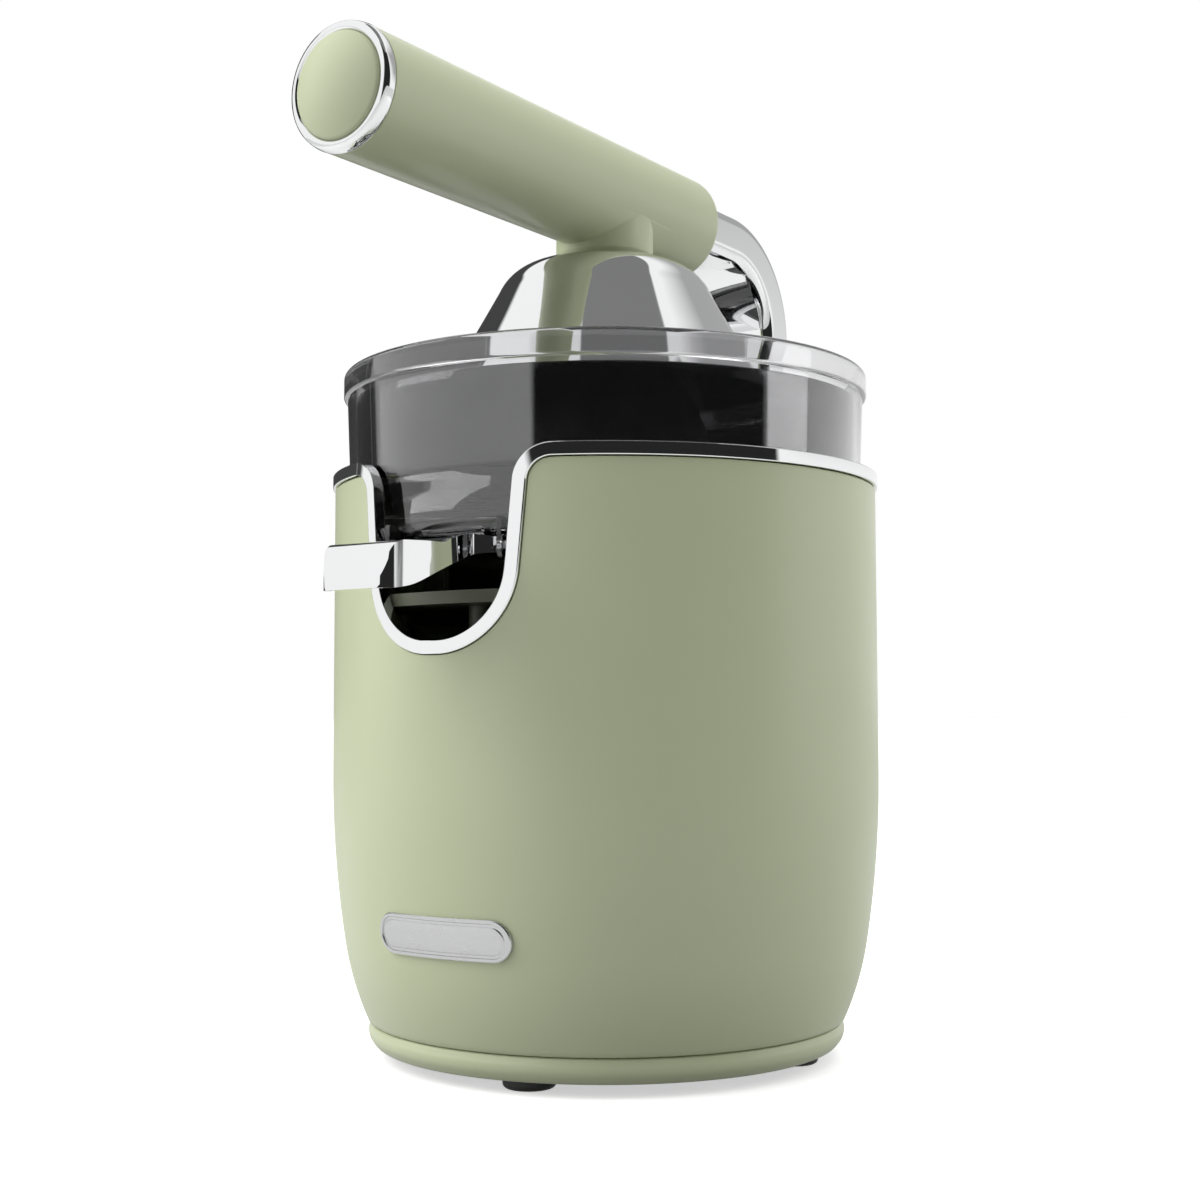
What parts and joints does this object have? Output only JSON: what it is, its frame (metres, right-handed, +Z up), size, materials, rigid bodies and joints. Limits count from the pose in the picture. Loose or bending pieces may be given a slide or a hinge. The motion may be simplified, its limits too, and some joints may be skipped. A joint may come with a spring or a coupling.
{
  "type": "citrus press juicer",
  "caption": "Lever-arm citrus press with a round body, smoked lift-out bowl, ribbed cones under a press dome, and a flip-up spout in a front cut.",
  "frame": {"origin": "the body's vertical axis at the level of the floor under the feet", "axes": "+Z up along the body's axis, -Y towards the front with the spout and the handle's end, +Y towards the rear hinge, +X to the right seen from the front"},
  "size_m": [0.1916, 0.2865, 0.3212],
  "materials": {
    "green_paint": "satin sage green paint",
    "chrome": "mirror polish",
    "dark_plastic": "matt dark olive moulding",
    "smoked_plastic": "smoked clear moulding",
    "black_rubber": "matt",
    "black_plastic": "matt",
    "white_nylon": "satin",
    "steel": "machined",
    "bronze": "sintered",
    "copper": "enamelled winding",
    "carbon": "carbon",
    "red_plastic": "satin"
  },
  "bodies": {
    "housing": {"body_shell": "green_paint", "trim_ring": "chrome", "base_ring": "green_paint", "base_plate": "black_plastic", "feet": "black_rubber", "badge": "chrome", "deck": "dark_plastic", "bowl_seal": "black_rubber", "bowl": "smoked_plastic", "strainer": "smoked_plastic", "frame_posts": "dark_plastic", "base_screws": "steel", "hinge_bracket": "chrome", "hinge_pin": "steel", "hinge_caps": "chrome", "bracket_screws": "steel", "hinge_washers": "white_nylon", "outlet_seal": "black_rubber", "spout_pins": "steel", "sleeve_bushes": "bronze", "idler_pin": "steel", "gearbox_housing": "dark_plastic", "gearbox_cover": "dark_plastic", "gearbox_screws": "steel", "switch_body": "black_plastic", "stator": "steel", "field_coils": "copper", "motor_top_bracket": "steel", "motor_low_bracket": "steel", "motor_bushes": "bronze", "motor_pillars": "steel", "brush_holders": "black_plastic", "brushes": "carbon", "terminal_block": "white_nylon", "cable_gland": "black_rubber"},
    "lever": {"arm": "chrome", "arm_bushes": "white_nylon", "handle": "green_paint", "handle_ring": "chrome", "handle_cap": "green_paint", "dome_pin": "steel"},
    "dome": {"press_dome": "chrome", "dome_stem": "dark_plastic"},
    "spout": {"spout": "chrome"},
    "output": {"output_gear": "white_nylon", "output_sleeve": "steel", "return_spring": "steel"},
    "press": {"spindle": "steel", "small_cone": "white_nylon", "large_cone": "white_nylon"},
    "idler": {"idler_gear": "white_nylon"},
    "rotor": {"motor_shaft": "steel", "motor_pinion": "steel", "armature": "copper", "commutator": "copper", "motor_fan": "black_plastic"},
    "plunger": {"switch_plunger": "red_plastic"}
  },
  "joints": [
    {"name": "lever_hinge", "type": "hinge", "parent": "housing", "child": "lever", "pos_m": [0, 0.12, 0.176], "axis": [-1, 0, 0], "range_deg": [0, 80]},
    {"name": "dome_tilt", "type": "hinge", "parent": "lever", "child": "dome", "pos_m": [0, 0, 0.287], "axis": [1, 0, 0], "range_deg": [-3.5, 3.5]},
    {"name": "spout_flip", "type": "hinge", "parent": "housing", "child": "spout", "pos_m": [0, -0.086, 0.1686], "axis": [-1, 0, 0], "range_deg": [0, 28]},
    {"name": "rotor_spin", "type": "hinge", "parent": "housing", "child": "rotor", "pos_m": [-0.03289, 0.02403, 0.08], "axis": [0, 0, 1], "continuous": true},
    {"name": "idler_spin", "type": "hinge", "parent": "housing", "child": "idler", "pos_m": [0, 0.036, 0.125], "axis": [0, 0, 1], "continuous": true},
    {"name": "output_spin", "type": "hinge", "parent": "housing", "child": "output", "pos_m": [0, 0, 0.13], "axis": [0, 0, 1], "continuous": true},
    {"name": "press_slide", "type": "slide", "parent": "output", "child": "press", "axis": [0, 0, 1], "range_m": [-0.003, 0], "stiffness_N_per_m": 900, "springref_m": 0.004, "deforming": ["return_spring"]},
    {"name": "plunger_slide", "type": "slide", "parent": "housing", "child": "plunger", "axis": [0, 0, 1], "range_m": [-0.003, 0]}
  ],
  "couplings": [
    {"joint": "idler_spin", "follows": "rotor_spin", "ratio": -0.25},
    {"joint": "output_spin", "follows": "rotor_spin", "ratio": 0.05},
    {"joint": "plunger_slide", "follows": "press_slide", "ratio": 1}
  ]
}
